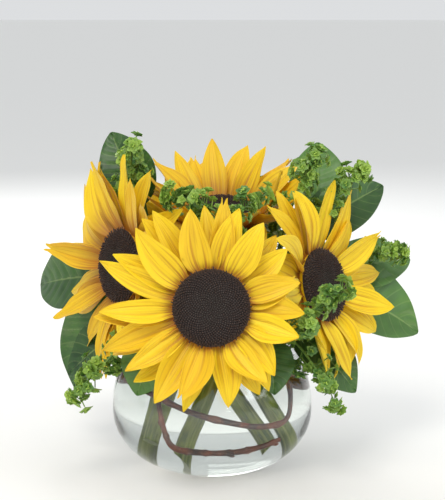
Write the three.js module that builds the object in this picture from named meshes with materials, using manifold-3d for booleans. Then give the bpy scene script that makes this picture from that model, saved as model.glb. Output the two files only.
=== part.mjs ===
// Cut sunflowers with leaf sprigs, thoroughwax sprays and curly willow, standing in a round glass
// bowl of water. Millimetres, +Z up. The origin is the centre of the bowl's flat foot, and the
// arrangement's front looks along -Y.
//
// The bowl, the heads and the stems' ends are placed by hand. Petals, bracts, leaves and spray tips
// follow rules with seeded random draws, and each one bends, shortens or turns until it is clear of
// what was placed before it, as crowded petals and leaves do in a real bunch.
import * as THREE from "three";
import { mergeVertices } from "three/addons/utils/BufferGeometryUtils.js";
import Module from "manifold-3d";

const wasm = await Module();
wasm.setup();

// ---- Driving dimensions -------------------------------------------------------------------

const GAP = 0.3; // left between pieces that touch
const CLEARANCE = 0.8; // a piece that looks for room is tested this much larger all round

// A 150 mm bubble bowl. Its outline is a squashed circle, fuller than an ellipse.
const BOWL = {
  radius: 75,
  widestHeight: 49,
  lowerReach: 51, // from the widest level down to where the outline would close
  upperReach: 69,
  fullness: 2.2, // exponent of the outline; 2 is an ellipse
  height: 100,
  footRadius: 28,
  wall: 3,
  floor: 7,
  sides: 30,
};
const WATER_LEVEL = 88;
const FOOT_LEVEL = 6; // height of the lowest ring of corners, on the outside only
const WALL_LEVELS = [16, 29, 42, 54, 70, WATER_LEVEL, 97]; // heights of the wall's other rings
const MOUTH_HEIGHT = 101;

// turn: degrees from the front towards the right. rise: degrees above level. disc: its radius.
// petal: mean length from the disc's edge. lift: degrees the petals rise from the disc's plane.
// longest: where round the head, in degrees, the petals are longer by the share uneven.
const FLOWERS = {
  front: {
    centre: [0, -80, 137], turn: 0, rise: 10, disc: 27.5,
    petal: 46, lift: 16, longest: 168, uneven: 0.17, seed: 11,
  },
  left: {
    centre: [-68, -6, 156], turn: -57, rise: 5, disc: 27.5,
    petal: 53, lift: 20, longest: 170, uneven: 0.07, seed: 23,
  },
  right: {
    centre: [82, -15, 143], turn: 55, rise: 12, disc: 27,
    petal: 50, lift: 20, longest: 40, uneven: 0.06, seed: 37,
  },
  top: {
    centre: [7, 27, 191], turn: 0, rise: 72, disc: 27,
    petal: 51, lift: 46, longest: 90, uneven: 0.05, seed: 41,
  },
  back: {
    centre: [-16, 82, 150], turn: 180, rise: 16, disc: 27,
    petal: 46, lift: 16, longest: 20, uneven: 0.08, seed: 59,
  },
};

// Where each flower's stem crosses the bowl's mouth and where its cut end stands. They cross in a
// spiral, so that no two meet.
const STEMS = {
  front: { mouth: [12, -35, MOUTH_HEIGHT], foot: [42, 12, 26] },
  left: { mouth: [-16, -15, MOUTH_HEIGHT], foot: [34, -13, 27] },
  right: { mouth: [15, -2, MOUTH_HEIGHT], foot: [-17, -4, 22] },
  top: { mouth: [-9, 11, MOUTH_HEIGHT], foot: [-36, -8, 29] },
  back: { mouth: [-14, 34, MOUTH_HEIGHT], foot: [-33, 22, 20] },
};
const STEM = { radius: 5, sides: 7, steps: 9 };

// Petals stand in two layers: the outer one lies deeper in the head and opens wider.
const PETAL = { count: 18, width: 19.5, thickness: 1.2, root: 7, stations: 5 };
const LAYERS = [
  { depth: 4.6, lift: -7, share: 1 },
  { depth: 2.9, lift: 7, share: 0.93 },
];
const PLATE = { thickness: 5.6, sides: 20 }; // the yellow ring of petal bases, under the disc
const DISC = { edge: 0.8, dome: 6, dip: 1.8, relief: 1.3, rings: 5, sides: 24 };
const CUP = { depth: 16, sides: 10 }; // the green receptacle behind the head
const BRACT = { count: 8, length: 25, width: 13, thickness: 1.4, root: 6, stations: 3, inset: 10 };

// Two curly willow twigs wound round the inside of the bowl's wall.
const TWIG = { radius: 2.2, thinEnd: 1.5, sides: 5, steps: 22 };
const TWIGS = {
  willow_front: [
    [43, -10, 114], [50, -26, 86], [54, -34, 62], [50, -39, 47], [33, -54, 46], [12, -63, 51],
    [-12, -62, 57], [-36, -54, 66], [-53, -37, 71], [-64, -10, 71], [-62, 18, 60], [-46, 43, 49],
    [-25, 56, 51], [-6, 60, 57], [14, 60, 54], [34, 52, 47], [47, 40, 45],
  ],
  willow_low: [
    [-34, -24, 112], [-40, -34, 86], [-36, -48, 60], [-32, -51, 42], [-25, -48, 31], [-6, -45, 28],
    [14, -44, 28], [31, -39, 30], [44, -29, 33],
  ],
};

// Thin stems pass the mouth in a ring, at an angle counted from +X towards +Y, go through an
// optional via point and end at a tip. Their feet reach a little way into the water.
const THIN = { sides: 4, steps: 7, mouthRadius: 45, footRadius: 43, footHeight: 76 };
const BEND = { at: 0.45, rise: 0.12 }; // without a via point: where above the mouth, how far upwards

// Leaf sprigs. Each leaf grows from its stem some way back from the stem's tip, and has its own tip,
// its width and the way its upper side looks.
const SPRIG_RADIUS = 1.5;
const LEAF = { thickness: 1.3, stations: 6, fold: 0.22, arch: 0.1 };
const SPRIGS = {
  left_sprig: {
    around: 160, tip: [-82, 58, 140],
    leaves: [
      { back: 2, tip: [-154, 100, 128], width: 50, faces: [-0.3, -0.9, 0.3] },
      { back: 14, tip: [-140, 52, 62], width: 50, faces: [-0.5, -0.8, 0.3] },
    ],
  },
  upper_left_sprig: {
    around: 146, tip: [-52, 32, 200],
    leaves: [{ back: 2, tip: [-78, 36, 252], width: 44, faces: [-0.2, -0.9, 0.2] }],
  },
  upper_right_sprig: {
    around: 50, tip: [80, 42, 184],
    leaves: [
      { back: 2, tip: [84, 50, 246], width: 46, faces: [0.1, -0.9, 0.2] },
      { back: 14, tip: [132, 46, 216], width: 42, faces: [0.2, -0.8, 0.5] },
    ],
  },
  right_sprig: {
    around: 22, tip: [92, 60, 138],
    leaves: [
      { back: 2, tip: [158, 80, 152], width: 44, faces: [0.2, -0.8, 0.6] },
      { back: 14, tip: [164, 54, 98], width: 58, faces: [0.3, -0.8, 0.5] },
    ],
  },
  lower_right_sprig: {
    around: -3, tip: [62, 2, 107],
    leaves: [{ back: 2, tip: [104, -6, 54], width: 42, faces: [0.3, -0.8, 0.5] }],
  },
  lower_left_sprig: {
    around: 182, tip: [-60, 18, 108],
    leaves: [{ back: 2, tip: [-116, 14, 54], width: 44, faces: [-0.3, -0.8, 0.5] }],
  },
  rim_right_sprig: {
    around: -60, tip: [40, -46, 108],
    leaves: [{ back: 2, tip: [46, -74, 76], width: 34, faces: [0.3, -0.9, 0.2] }],
  },
  rim_left_sprig: {
    around: 236, tip: [-40, -44, 108],
    leaves: [{ back: 2, tip: [-62, -64, 78], width: 38, faces: [-0.3, -0.9, 0.2] }],
  },
  back_right_sprig: {
    around: 66, tip: [48, 62, 128],
    leaves: [
      { back: 2, tip: [104, 84, 140], width: 44, faces: [0.3, 0.7, 0.6] },
      { back: 14, tip: [60, 98, 70], width: 44, faces: [0.2, 0.9, 0.4] },
    ],
  },
  back_left_sprig: {
    around: 126, tip: [-54, 58, 126],
    leaves: [
      { back: 2, tip: [-112, 78, 138], width: 44, faces: [-0.3, 0.7, 0.6] },
      { back: 14, tip: [-66, 94, 68], width: 44, faces: [-0.2, 0.9, 0.4] },
    ],
  },
};

// Thoroughwax sprays, which end in small starry cups of bracts along their last stretch.
const SPRAY_RADIUS = 1.2;
const UMBEL = { radius: 7, notch: 0.5, stalk: 12, thickness: 2.2, neck: 0.7, points: 5, rows: 3 };
const SPREAD = { along: 44, widest: 62, narrowest: 14 }; // reach back from the tip, and degrees out
const SPRAYS = {
  spray_upper_left: { around: 172, via: [-60, 36, 168], tip: [-60, 2, 238], umbels: 5, seed: 5 },
  spray_crown_left: { around: 250, via: [10, -50, 190], tip: [-24, -47, 212], umbels: 5, seed: 8 },
  spray_crown_right: { around: 312, via: [6, -56, 180], tip: [29, -46, 208], umbels: 5, seed: 13 },
  spray_upper_right: { around: 34, tip: [72, -4, 232], umbels: 5, seed: 21 },
  spray_far_upper_right: { around: 12, tip: [106, 6, 222], umbels: 5, seed: 34 },
  spray_gap_right: { around: 322, via: [52, -62, 118], tip: [87, -77, 147], umbels: 5, seed: 55 },
  spray_far_right: { around: 38, via: [84, 56, 150], tip: [138, 48, 160], umbels: 5, seed: 89 },
  spray_low_left: { around: 203, via: [-60, -31, 105], tip: [-94, -50, 74], umbels: 5, seed: 144 },
  spray_low_right: { around: 333, via: [60, -40, 105], tip: [84, -62, 76], umbels: 5, seed: 233 },
  spray_back: { around: 84, via: [44, 60, 140], tip: [44, 84, 200], umbels: 5, seed: 377 },
};

// ---- Small maths --------------------------------------------------------------------------

const { lerp, clamp, degToRad } = THREE.MathUtils;
const GOLDEN_ANGLE = Math.PI * (3 - Math.sqrt(5));
const point = (p) => new THREE.Vector3(...p);

// A seeded random number from 0 to 1, the same on every machine.
function randomFrom(seed) {
  let state = seed >>> 0;
  return () => {
    state = (state + 0x6d2b79f5) >>> 0;
    let t = state;
    t = Math.imul(t ^ (t >>> 15), t | 1);
    t ^= t + Math.imul(t ^ (t >>> 7), t | 61);
    return ((t ^ (t >>> 14)) >>> 0) / 4294967296;
  };
}

// Right, up and forward as seen by someone who looks a head in the face.
function facing(turn, rise) {
  const t = degToRad(turn);
  const r = degToRad(rise);
  const forward = point([Math.sin(t) * Math.cos(r), -Math.cos(t) * Math.cos(r), Math.sin(r)]);
  const right = point([Math.cos(t), Math.sin(t), 0]);
  return { forward, right, up: new THREE.Vector3().crossVectors(forward, right) };
}

function onRing(degrees, radius, height) {
  const angle = degToRad(degrees);
  return point([radius * Math.cos(angle), radius * Math.sin(angle), height]);
}

function spaced(from, to, count) {
  return Array.from({ length: count }, (_, i) => lerp(from, to, i / (count - 1)));
}

// ---- Solids -------------------------------------------------------------------------------

function solidOf(geometry) {
  const bare = new THREE.BufferGeometry();
  bare.setAttribute("position", geometry.getAttribute("position"));
  bare.setIndex(geometry.index);
  const merged = mergeVertices(bare, 1e-4);
  return new wasm.Manifold(
    new wasm.Mesh({
      numProp: 3,
      vertProperties: merged.attributes.position.array,
      triVerts: new Uint32Array(merged.index.array),
    }),
  );
}

function geometryOf(solid) {
  const mesh = solid.getMesh();
  const geometry = new THREE.BufferGeometry();
  geometry.setAttribute("position", new THREE.BufferAttribute(new Float32Array(mesh.vertProperties), 3));
  geometry.setIndex(new THREE.BufferAttribute(new Uint32Array(mesh.triVerts), 1));
  geometry.computeVertexNormals();
  return geometry;
}

function join(solids) {
  return solids.reduce((sum, solid) => sum.add(solid));
}

// Moves every vertex of a geometry by a rule that reads its old place.
function reshape(geometry, rule) {
  const position = geometry.getAttribute("position");
  for (let i = 0; i < position.count; i++) {
    const p = rule(position.getX(i), position.getY(i), position.getZ(i));
    position.setXYZ(i, p.x, p.y, p.z);
  }
  return geometry;
}

// A solid turned on the Z axis from an outline of [radius, height] points.
function turned(outline, sides) {
  const points = outline.map(([r, z]) => new THREE.Vector2(r, z));
  return new THREE.LatheGeometry(points, sides).rotateX(Math.PI / 2);
}

// A blade is a four-sided ball drawn out flat. In place(t, side, face) t runs from root to tip, side
// is -1, 0 or 1 across the blade, and face is 1 on its upper ridge and -1 on its lower one.
function blade(stations, place) {
  return solidOf(
    reshape(new THREE.SphereGeometry(1, 4, stations), (x, y, z) => {
      const t = Math.acos(clamp(y, -1, 1)) / Math.PI;
      const ring = Math.sin(Math.PI * t);
      const atPole = ring < 1e-6;
      return place(t, atPole ? 0 : Math.round(x / ring), atPole ? 0 : Math.round(z / ring));
    }),
  );
}

// A round stem along a curve. grow widens it and lengthens both its ends.
function tube(curve, { radius, thinEnd = radius, sides, steps }, grow = 0) {
  const frames = curve.computeFrenetFrames(steps, false);
  return solidOf(
    reshape(new THREE.CylinderGeometry(1, 1, 1, sides, steps), (x, y, z) => {
      const k = Math.round((0.5 - y) * steps);
      const r = lerp(radius, thinEnd, k / steps) + grow;
      const past = k === 0 ? -grow : k === steps ? grow : 0;
      return curve
        .getPointAt(k / steps)
        .addScaledVector(frames.tangents[k], past)
        .addScaledVector(frames.normals[k], x * r)
        .addScaledVector(frames.binormals[k], z * r);
    }),
  );
}

function smoothCurve(points) {
  return new THREE.CatmullRomCurve3(points, false, "catmullrom", 0.5);
}

// ---- Finding room -------------------------------------------------------------------------

const obstacles = [];

function addObstacle(solid) {
  obstacles.push({ solid, box: solid.boundingBox() });
  return solid;
}

function boxesMeet(a, b) {
  return [0, 1, 2].every((k) => a.min[k] <= b.max[k] && b.min[k] <= a.max[k]);
}

// True where a solid meets no obstacle, apart from those it grows from.
function isClear(solid, own = []) {
  const box = solid.boundingBox();
  return obstacles.every(
    (o) => own.includes(o.solid) || !boxesMeet(o.box, box) || o.solid.intersect(solid).isEmpty(),
  );
}

// The first choice whose larger test shape, from make(choice, growth), is clear of everything.
function firstClear(choices, make, own) {
  return choices.find((choice) => isClear(make(choice, CLEARANCE), own));
}

// ---- Bowl and water -----------------------------------------------------------------------

function bowlRadius(z) {
  const reach = z < BOWL.widestHeight ? BOWL.lowerReach : BOWL.upperReach;
  const away = Math.abs(z - BOWL.widestHeight) / reach;
  return BOWL.radius * Math.pow(1 - Math.pow(away, BOWL.fullness), 1 / BOWL.fullness);
}

const wallRing = (inset) => (z) => [bowlRadius(z) - inset, z];

function bowl() {
  const foot = [[0, 0], [BOWL.footRadius, 0]];
  const outside = [FOOT_LEVEL, ...WALL_LEVELS].map(wallRing(0));
  const lip = [bowlRadius(WALL_LEVELS.at(-1)) - BOWL.wall / 2, BOWL.height];
  const inside = WALL_LEVELS.map(wallRing(BOWL.wall)).reverse();
  const floor = [[BOWL.footRadius, BOWL.floor + 1], [0, BOWL.floor]];
  return solidOf(turned([...foot, ...outside, lip, ...inside, ...floor], BOWL.sides));
}

// The water follows the inside of the glass, and its stems stand in plain holes.
function water(holes) {
  const space = 2 * GAP;
  const [lowest, ...wetted] = WALL_LEVELS.filter((z) => z <= WATER_LEVEL).map(wallRing(BOWL.wall + space));
  const bottom = [0, BOWL.floor + space];
  const floor = [BOWL.footRadius - space, BOWL.floor + 1 + space];
  const outline = [bottom, floor, [lowest[0], lowest[1] + space], ...wetted, [0, WATER_LEVEL]];
  return holes.reduce((left, hole) => left.subtract(hole), solidOf(turned(outline, BOWL.sides)));
}

// ---- Sunflowers ---------------------------------------------------------------------------

// A geometry made on the Z axis, moved to a head: its +Z becomes the way the flower faces.
function onHead(geometry, flower) {
  const { forward, right, up } = facing(flower.turn, flower.rise);
  const matrix = new THREE.Matrix4().makeBasis(right, up, forward).setPosition(...flower.centre);
  return geometry.applyMatrix4(matrix);
}

// The disc's height above its plane at a share of its radius: a low dome with a dip.
function discHeight(share) {
  const dome = DISC.dome * Math.pow(1 - Math.pow(share, 4), 0.6);
  return DISC.edge + dome - DISC.dip * Math.pow(1 - share, 2);
}

// The florets stand out of the dome as a spiral checker of raised points.
function disc(flower) {
  const rings = spaced(1, 0, DISC.rings + 1).map((share) => [flower.disc * share, discHeight(share)]);
  const outline = [[0, 0], [flower.disc - 1, 0], ...rings];
  const geometry = reshape(turned(outline, DISC.sides), (x, y, z) => {
    const ring = Math.round((Math.hypot(x, y) / flower.disc) * DISC.rings);
    const step = Math.round((Math.atan2(y, x) / (2 * Math.PI)) * DISC.sides);
    const raised = z > 0 && ring > 0 && ring < DISC.rings && (ring + step) % 2 === 0;
    return point([x, y, z + (raised ? DISC.relief : 0)]);
  });
  return solidOf(onHead(geometry, flower));
}

function plate(flower) {
  const low = -GAP - PLATE.thickness;
  const outline = [[0, low], [flower.disc - 2, low], [flower.disc + 1, -GAP], [0, -GAP]];
  return solidOf(onHead(turned(outline, PLATE.sides), flower));
}

// The random draws for one petal or bract, from -1 to 1, always taken in this order.
function drawBlade(random) {
  const draw = () => random() * 2 - 1;
  return {
    azimuth: draw(), length: draw(), width: draw(), lift: draw(),
    curl: draw(), sway: draw(), twist: draw(), fold: draw(),
  };
}

// Half a petal's width as a share of its widest: narrow root, full middle, pointed tip.
function petalOutline(t) {
  return Math.pow(Math.sin(Math.PI * Math.pow(t, 0.9)), 0.75);
}

// A petal or bract that grows outwards from a head: it runs level for its root, then rises by lift
// and goes on bending by curl, both in radians.
function headBlade(flower, shape, grow) {
  const { forward, right, up } = facing(flower.turn, flower.rise);
  const outwards = right.clone().multiplyScalar(Math.cos(shape.azimuth));
  outwards.addScaledVector(up, Math.sin(shape.azimuth));
  const sideways = new THREE.Vector3().crossVectors(forward, outwards);
  const whole = shape.root + shape.length;
  return blade(shape.stations, (t, side, face) => {
    const run = Math.max(0, t * whole - shape.root) / shape.length;
    const level = Math.min(t * whole, shape.root);
    const slope = shape.lift + (shape.curl * run) / 2;
    const angle = run > 0 ? shape.lift + shape.curl * run : 0;
    const along = outwards.clone().multiplyScalar(Math.cos(angle));
    along.addScaledVector(forward, Math.sin(angle));
    along.addScaledVector(sideways, 2 * shape.sway * run).normalize();
    const normal = forward.clone().multiplyScalar(Math.cos(angle));
    normal.addScaledVector(outwards, -Math.sin(angle));
    normal.applyAxisAngle(along, shape.twist * run);
    const across = new THREE.Vector3().crossVectors(normal, along);
    const half = (shape.width / 2) * petalOutline(t);
    return point(flower.centre)
      .addScaledVector(outwards, shape.start + level + shape.length * run * Math.cos(slope))
      .addScaledVector(forward, shape.length * run * Math.sin(slope) - shape.depth)
      .addScaledVector(sideways, shape.sway * shape.length * run * run)
      .addScaledVector(across, side * (half + grow))
      .addScaledVector(normal, side * side * shape.fold * half + face * (shape.thickness / 2 + grow));
  });
}

// The ways a crowded petal gives way, mildest first: degrees of extra lift, and share of its length.
const PETAL_CHOICES = [
  [0, 1], [7, 1], [-7, 1], [14, 1], [-14, 1], [0, 0.85], [22, 0.95], [-22, 0.95], [10, 0.75], [-10, 0.75],
  [32, 0.85], [-32, 0.85], [44, 0.75], [-44, 0.75], [0, 0.6], [20, 0.6], [-20, 0.6], [58, 0.65], [-58, 0.6],
  [0, 0.45], [25, 0.45], [-25, 0.45], [50, 0.45], [-50, 0.45],
];

function petals(flower, own) {
  const random = randomFrom(flower.seed);
  const grown = [];
  for (let i = 0; i < PETAL.count; i++) {
    const layer = LAYERS[i % 2];
    const draw = drawBlade(random);
    const shape = {
      ...PETAL,
      start: flower.disc + 1 - PETAL.root,
      depth: layer.depth,
      azimuth: (2 * Math.PI * (i + 0.22 * draw.azimuth)) / PETAL.count,
      width: PETAL.width * (1 + 0.16 * draw.width),
      curl: degToRad(-14 + 26 * draw.curl),
      sway: 0.1 * draw.sway,
      twist: degToRad(22 * draw.twist),
      fold: 0.2 + 0.1 * draw.fold,
    };
    const lift = flower.lift + layer.lift + 4 * draw.lift;
    const towards = Math.cos(shape.azimuth - degToRad(flower.longest));
    const length = flower.petal * layer.share * (1 + 0.08 * draw.length + flower.uneven * towards);
    const make = ([bend, share], grow) =>
      headBlade(flower, { ...shape, lift: degToRad(lift + bend), length: length * share }, grow);
    const choice = firstClear(PETAL_CHOICES, make, own);
    if (choice) grown.push(make(choice, 0));
  }
  return grown;
}

function cup(flower) {
  const top = -PLATE.thickness - 2 * GAP;
  const rim = flower.disc - 1;
  const outline = [
    [0, top - CUP.depth], [STEM.radius + 1.5, top - CUP.depth], [rim * 0.62, top - 9],
    [rim, top - 2.5], [rim - 1, top], [0, top],
  ];
  return solidOf(onHead(turned(outline, CUP.sides), flower));
}

const BRACT_LIFTS = [-4, -14, -26, -40, 8];

function bracts(flower, own) {
  const random = randomFrom(flower.seed + 1);
  const grown = [];
  for (let i = 0; i < BRACT.count; i++) {
    const draw = drawBlade(random);
    const shape = {
      ...BRACT,
      start: flower.disc - BRACT.inset,
      depth: PLATE.thickness + 2 * GAP + 4,
      azimuth: (2 * Math.PI * (i + 0.2 * draw.azimuth)) / BRACT.count,
      width: BRACT.width * (1 + 0.1 * draw.width),
      length: BRACT.length * (1 + 0.12 * draw.length),
      curl: degToRad(-30 + 15 * draw.curl),
      sway: 0.08 * draw.sway,
      twist: 0,
      fold: 0.15,
    };
    const make = (lift, grow) =>
      headBlade(flower, { ...shape, lift: degToRad(lift + 4 * draw.lift) }, grow);
    const lift = firstClear(BRACT_LIFTS, make, own);
    if (lift !== undefined) grown.push(make(lift, 0));
  }
  return grown;
}

function stemCurve(flower, { mouth, foot }) {
  const { forward } = facing(flower.turn, flower.rise);
  const behind = (distance) => point(flower.centre).addScaledVector(forward, -distance);
  const below = point(mouth).lerp(point(foot), 0.5);
  return smoothCurve([behind(PLATE.thickness + 8), behind(40), point(mouth), below, point(foot)]);
}

// ---- Thin stems, leaves and sprays --------------------------------------------------------

// Small turns of a thin stem's place in the mouth and of its foot, in degrees, mildest first.
const ROUTE_CHOICES = [0, 6, -6, 12, -12, 20, -20, 30, -30].flatMap((mouth) =>
  [0, 12, -12, 26, -26, 40, -40].map((foot) => [mouth, foot]),
);

function thinCurve(spec, [mouthTurn, footTurn]) {
  const mouth = onRing(spec.around + mouthTurn, THIN.mouthRadius, MOUTH_HEIGHT + 2);
  const foot = onRing(spec.around + mouthTurn + footTurn, THIN.footRadius, THIN.footHeight);
  const tip = point(spec.tip);
  const over = mouth.clone().lerp(tip, BEND.at);
  over.z += BEND.rise * mouth.distanceTo(tip);
  return smoothCurve([foot, mouth, spec.via ? point(spec.via) : over, tip]);
}

// The place on a thin stem's faceted centre line that lies some way back from its tip, and the
// stem's direction there.
function backFromTip(curve, distance) {
  const along = (1 - distance / curve.getLength()) * THIN.steps;
  const from = curve.getPointAt(Math.floor(along) / THIN.steps);
  const to = curve.getPointAt(Math.ceil(along) / THIN.steps);
  return { root: from.clone().lerp(to, along % 1), tangent: to.sub(from).normalize() };
}

// Half a leaf's width as a share of its widest: an oval, broader towards the root.
function leafOutline(t) {
  return Math.pow(Math.sin(Math.PI * Math.pow(t, 0.85)), 0.7);
}

// A leaf from its root to its tip: folded a little along its rib, and arched over.
function leafBlade(leaf, root, [pitch, yaw, size], grow) {
  const along = point(leaf.tip).sub(root);
  const length = along.length() * size;
  along.normalize();
  const across = new THREE.Vector3().crossVectors(point(leaf.faces), along).normalize();
  along.applyAxisAngle(across, degToRad(pitch));
  const normal = new THREE.Vector3().crossVectors(along, across);
  along.applyAxisAngle(normal, degToRad(yaw));
  across.crossVectors(normal, along);
  return blade(LEAF.stations, (t, side, face) => {
    const half = (leaf.width / 2) * size * leafOutline(t);
    const arch = LEAF.arch * length * (4 * t * (1 - t) - t);
    const fold = side * side * LEAF.fold * half;
    return root
      .clone()
      .addScaledVector(along, length * t)
      .addScaledVector(normal, arch + fold + face * (LEAF.thickness / 2 + grow))
      .addScaledVector(across, side * (half + grow));
  });
}

// The ways a crowded leaf gives way: degrees of pitch and of yaw, and share of its size.
const LEAF_TURNS = [
  [0, 0], [9, 0], [-9, 0], [0, 10], [0, -10],
  [16, 8], [16, -8], [-16, 8], [-16, -8], [26, 0], [-26, 0],
];
const LEAF_CHOICES = [1, 0.85, 0.7].flatMap((size) => LEAF_TURNS.map((turns) => [...turns, size]));

function leaves(spec, curve, own) {
  const grown = [];
  for (const leaf of spec.leaves) {
    const { root } = backFromTip(curve, leaf.back);
    const make = (choice, grow) => leafBlade(leaf, root, choice, grow);
    const choice = firstClear(LEAF_CHOICES, make, own);
    if (choice) grown.push(make(choice, 0));
  }
  return grown;
}

// A starry cup on its stalk: a ball whose lower half is drawn out thin to the stem.
function umbel(root, axis, out, radius, length, grow) {
  const across = new THREE.Vector3().crossVectors(out, axis).normalize();
  const level = new THREE.Vector3().crossVectors(axis, across);
  const top = length + UMBEL.thickness / 2;
  const low = length - UMBEL.thickness / 2;
  return solidOf(
    reshape(new THREE.SphereGeometry(1, 2 * UMBEL.points, UMBEL.rows), (x, y, z) => {
      const angle = Math.atan2(z, x);
      const tip = Math.round((angle / Math.PI) * UMBEL.points) % 2 === 0;
      const row = Math.round((Math.acos(clamp(y, -1, 1)) / Math.PI) * UMBEL.rows);
      const star = radius * (tip ? 1 : UMBEL.notch) + grow;
      const brim = tip ? top + 0.2 * radius : top - 0.3;
      const reach = [0, star, UMBEL.neck + grow, 0][row];
      const height = [top + grow, brim, low - grow, 0][row];
      return root
        .clone()
        .addScaledVector(axis, height)
        .addScaledVector(level, reach * Math.cos(angle))
        .addScaledVector(across, reach * Math.sin(angle));
    }),
  );
}

// The ways a crowded cup gives way: degrees round the stem, and share of its stalk's length.
const UMBEL_CHOICES = [
  [0, 1], [40, 1], [-40, 1], [0, 0.75], [80, 0.9],
  [-80, 0.9], [40, 0.6], [-40, 0.6], [180, 0.8], [120, 0.7],
];

function umbels(spec, curve, own) {
  const random = randomFrom(spec.seed);
  const grown = [];
  for (let i = 0; i < spec.umbels; i++) {
    const spin = random();
    const reach = random();
    const share = i / (spec.umbels - 1);
    const { root, tangent } = backFromTip(curve, SPREAD.along * (1 - share) + 1);
    const spread = lerp(SPREAD.widest, SPREAD.narrowest, share);
    const side = new THREE.Vector3().crossVectors(tangent, point([0.1, 0.2, 1])).normalize();
    const make = ([turn, size], grow) => {
      const out = side.clone().applyAxisAngle(tangent, i * GOLDEN_ANGLE + 0.8 * spin + degToRad(turn));
      const axis = tangent.clone().applyAxisAngle(out, degToRad(spread));
      const radius = UMBEL.radius * (0.85 + 0.3 * spin) * Math.sqrt(size);
      return umbel(root, axis, out, radius, UMBEL.stalk * (0.85 + 0.5 * reach) * size, grow);
    };
    const choice = firstClear(UMBEL_CHOICES, make, own);
    if (choice) grown.push(addObstacle(make(choice, 0)));
  }
  return grown;
}

// ---- Colours and finishes -----------------------------------------------------------------

function finish(color, roughness, extra = {}) {
  return new THREE.MeshStandardMaterial({ color, roughness, metalness: 0, ...extra });
}

const FINISHES = {
  glass: finish(0xeef4f4, 0.05, { transparent: true, opacity: 0.3 }),
  water: finish(0xdfeaea, 0.02, { transparent: true, opacity: 0.3 }),
  petals: finish(0xf2c41c, 0.55),
  disc: finish(0x33211a, 0.9),
  stem: finish(0x6f8a3c, 0.6),
  willow: finish(0x7a3d22, 0.5),
  leaf: finish(0x3f6b33, 0.45),
  thoroughwax: finish(0x86a83c, 0.6),
};

// ---- Putting it together ------------------------------------------------------------------

const bouquet = new THREE.Group();
const holes = [];

function addNode(name, solids, material) {
  const mesh = new THREE.Mesh(geometryOf(join(solids)), material);
  mesh.name = name;
  bouquet.add(mesh);
}

// A stem that other pieces must leave room for, with its hole in the water.
function addStem(curve, sizes) {
  holes.push(tube(curve, sizes, GAP + 0.1));
  return addObstacle(tube(curve, sizes));
}

addNode("bowl", [addObstacle(bowl())], FINISHES.glass);

for (const [name, points] of Object.entries(TWIGS)) {
  addNode(name, [addStem(smoothCurve(points.map(point)), TWIG)], FINISHES.willow);
}

const heads = Object.entries(FLOWERS).map(([name, flower]) => {
  const solids = { cup: cup(flower), plate: plate(flower), disc: disc(flower) };
  Object.values(solids).forEach(addObstacle);
  return { name, flower, stem: addStem(stemCurve(flower, STEMS[name]), STEM), ...solids };
});

// Every thin stem finds its way to the mouth before the first petal opens.
function thinStem(name, spec, radius) {
  const sizes = { ...THIN, radius };
  const make = (choice, grow) => tube(thinCurve(spec, choice), sizes, grow);
  const choice = firstClear(ROUTE_CHOICES, make);
  const curve = thinCurve(spec, choice);
  return { name, spec, curve, stem: addStem(curve, sizes) };
}
const sprigs = Object.entries(SPRIGS).map(([name, spec]) => thinStem(name, spec, SPRIG_RADIUS));
const sprays = Object.entries(SPRAYS).map(([name, spec]) => thinStem(name, spec, SPRAY_RADIUS));

for (const head of heads) {
  const green = bracts(head.flower, [head.cup, head.stem]);
  green.forEach(addObstacle);
  const yellow = petals(head.flower, [head.plate]);
  yellow.forEach(addObstacle);
  addNode(`${head.name}_flower_petals`, [head.plate, ...yellow], FINISHES.petals);
  addNode(`${head.name}_flower_disc`, [head.disc], FINISHES.disc);
  addNode(`${head.name}_flower_stem`, [head.cup, head.stem, ...green], FINISHES.stem);
}

for (const { name, spec, curve, stem } of sprigs) {
  const blades = leaves(spec, curve, [stem]);
  blades.forEach(addObstacle);
  addNode(name, [stem, ...blades], FINISHES.leaf);
}

for (const { name, spec, curve, stem } of sprays) {
  addNode(name, [stem, ...umbels(spec, curve, [stem])], FINISHES.thoroughwax);
}

addNode("water", [water(holes)], FINISHES.water);

export default bouquet;
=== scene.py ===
import math
import random
from bisect import bisect_right

import bmesh
import bpy
from mathutils import Matrix, Quaternion, Vector
from mathutils.bvhtree import BVHTree
from mathutils.kdtree import KDTree


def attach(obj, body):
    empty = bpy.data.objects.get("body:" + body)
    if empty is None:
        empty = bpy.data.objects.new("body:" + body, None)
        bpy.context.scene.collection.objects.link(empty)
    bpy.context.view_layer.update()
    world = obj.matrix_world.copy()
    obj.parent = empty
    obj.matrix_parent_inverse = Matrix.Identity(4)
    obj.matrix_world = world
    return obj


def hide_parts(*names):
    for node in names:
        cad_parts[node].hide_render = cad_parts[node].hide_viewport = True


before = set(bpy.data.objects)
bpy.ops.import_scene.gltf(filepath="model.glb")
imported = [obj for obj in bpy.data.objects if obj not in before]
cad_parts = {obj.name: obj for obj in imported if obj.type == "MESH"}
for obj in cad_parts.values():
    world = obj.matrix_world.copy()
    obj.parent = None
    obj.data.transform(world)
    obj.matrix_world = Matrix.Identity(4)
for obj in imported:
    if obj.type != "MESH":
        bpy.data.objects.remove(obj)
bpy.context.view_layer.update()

# Sunflowers, leaf sprigs, thoroughwax sprays and curly willow in a glass bowl of water. Every length
# is in millimetres until a piece is finished. The solids were made by the same rules and seeded
# draws as here, and where one had a choice of shapes, its own corners tell which it took.

# ---- Driving dimensions, as in the solids ------------------------------------------------------

GAP = 0.3

BOWL = {
    "radius": 75, "widest_height": 49, "lower_reach": 51, "upper_reach": 69, "fullness": 2.2,
    "height": 100, "wall": 3, "floor": 7,
}
WATER_LEVEL = 88
MOUTH_HEIGHT = 101

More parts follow.
